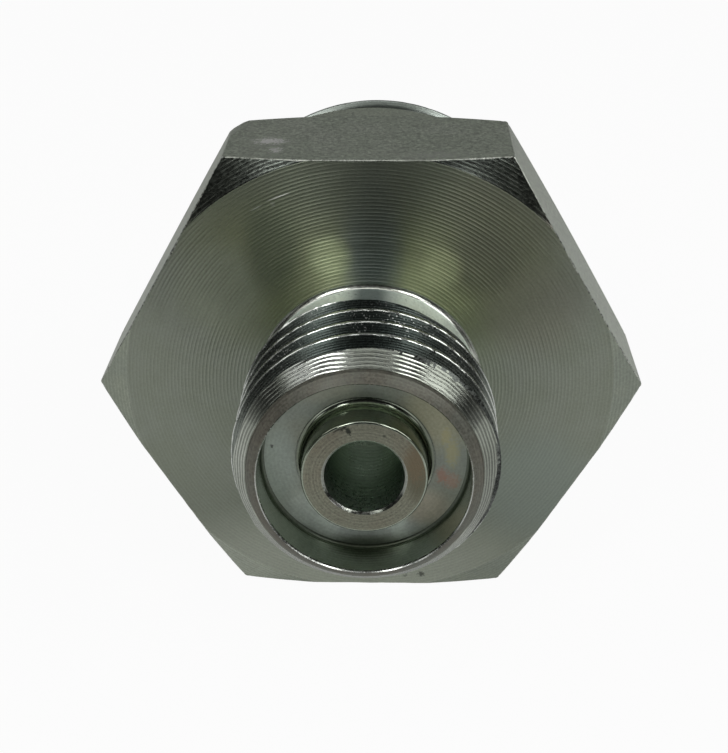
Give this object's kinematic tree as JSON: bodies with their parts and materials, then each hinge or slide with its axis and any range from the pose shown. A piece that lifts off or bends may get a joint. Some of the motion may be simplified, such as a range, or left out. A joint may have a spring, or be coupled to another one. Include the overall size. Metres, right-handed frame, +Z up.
{
  "type": "hydraulic adapter",
  "caption": "Zinc plated steel hydraulic adapter: a hexagon with a small threaded stud and bored nose at the front, and a sealing collar and larger threaded stud behind.",
  "frame": {"origin": "where the axis of both studs meets the hexagon's front face", "axes": "+Y along the axis from the front stud's tip to the rear stud's end, +X to the right seen from the front stud, +Z up; the part lies on a flat of its hexagon, at z = -13.5 mm"},
  "size_m": [0.0312, 0.0328, 0.027],
  "materials": {
    "plated_steel": "turned steel with bright to olive-grey zinc plating"
  },
  "bodies": {
    "root": {"adapter_body": "plated_steel"}
  },
  "joints": []
}
